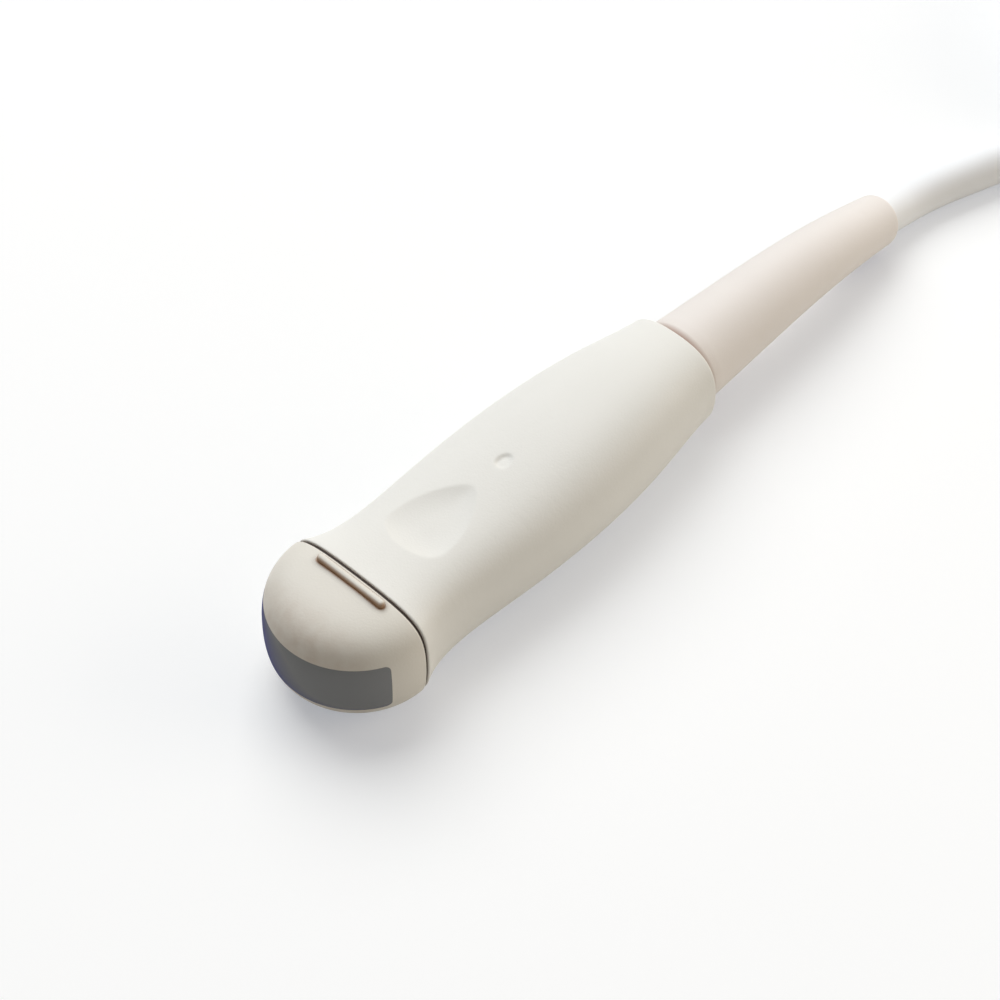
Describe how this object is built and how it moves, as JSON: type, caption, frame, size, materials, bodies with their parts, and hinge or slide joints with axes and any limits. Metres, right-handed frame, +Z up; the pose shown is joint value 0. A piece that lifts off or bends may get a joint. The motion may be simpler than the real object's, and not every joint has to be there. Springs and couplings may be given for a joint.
{
  "type": "ultrasound transducer probe",
  "caption": "Hand-held micro-convex ultrasound probe with a curved array behind a grey lens, a waisted handle, a strain relief, and a tied cable with a locking plug.",
  "frame": {"origin": "on the floor under the middle of the probe without its cable, plug and hank", "axes": "+X from the nose to the cable, +Y across the array, +Z up with the probe lying on its flat side"},
  "size_m": [0.3445, 0.0638, 0.047],
  "materials": {
    "nose_plastic": "warm off-white moulded plastic, fine matte grain",
    "lens_rubber": "grey silicone lens, satin",
    "matching_epoxy": "filled epoxy layer",
    "piezo_ceramic": "diced piezo ceramic",
    "backing_epoxy": "loaded epoxy",
    "flex_film": "amber polyimide film",
    "board_laminate": "green solder mask",
    "contact_plastic": "black moulded connector",
    "shield_sheet": "tinned sheet",
    "core_insulation": "bundle of fine coax cores",
    "clamp_alloy": "machined",
    "screw_steel": "machined",
    "seal_rubber": "dark sealing bead",
    "handle_plastic": "off-white moulded plastic, fine matte grain",
    "boot_rubber": "pinkish beige soft moulding, matte",
    "cable_jacket": "white jacket, satin",
    "ferrule_brass": "crimped ring",
    "tie_fabric": "dark hook-and-loop strap",
    "plug_plastic": "off-white moulded plastic",
    "knob_plastic": "grey moulded grip",
    "shaft_steel": "turned"
  },
  "bodies": {
    "probe": {"nose_housing": "nose_plastic", "acoustic_lens": "lens_rubber", "outer_matching_layer": "matching_epoxy", "inner_matching_layer": "matching_epoxy", "piezo_elements": "piezo_ceramic", "backing_block": "backing_epoxy", "upper_flex_circuit": "flex_film", "lower_flex_circuit": "flex_film", "upper_board": "board_laminate", "lower_board": "board_laminate", "upper_board_connector": "contact_plastic", "lower_board_connector": "contact_plastic", "upper_shield": "shield_sheet", "lower_shield": "shield_sheet", "upper_coax_ribbon": "core_insulation", "lower_coax_ribbon": "core_insulation", "upper_cable_clamp": "clamp_alloy", "lower_cable_clamp": "clamp_alloy", "chassis": "clamp_alloy", "board_screws": "screw_steel", "clamp_screws": "screw_steel", "nose_seal": "seal_rubber", "handle": "handle_plastic", "boot": "boot_rubber", "cable_tail": "cable_jacket", "braid_ferrule": "ferrule_brass", "cable": "cable_jacket", "cable_end": "cable_jacket", "cable_coil": "cable_jacket", "coil_tie": "tie_fabric", "plug_front_shell": "plug_plastic", "plug_back_shell": "plug_plastic", "plug_screws": "screw_steel", "contact_block": "contact_plastic", "plug_board": "board_laminate", "plug_boot": "boot_rubber"},
    "lock": {"lock_shaft": "shaft_steel", "lock_clip": "screw_steel", "lock_knob": "knob_plastic"}
  },
  "joints": [
    {"name": "lock_turn", "type": "hinge", "parent": "probe", "child": "lock", "pos_m": [0.2487, -0.033, 0.034], "axis": [0, 1, 0], "range_deg": [0, 90]}
  ]
}
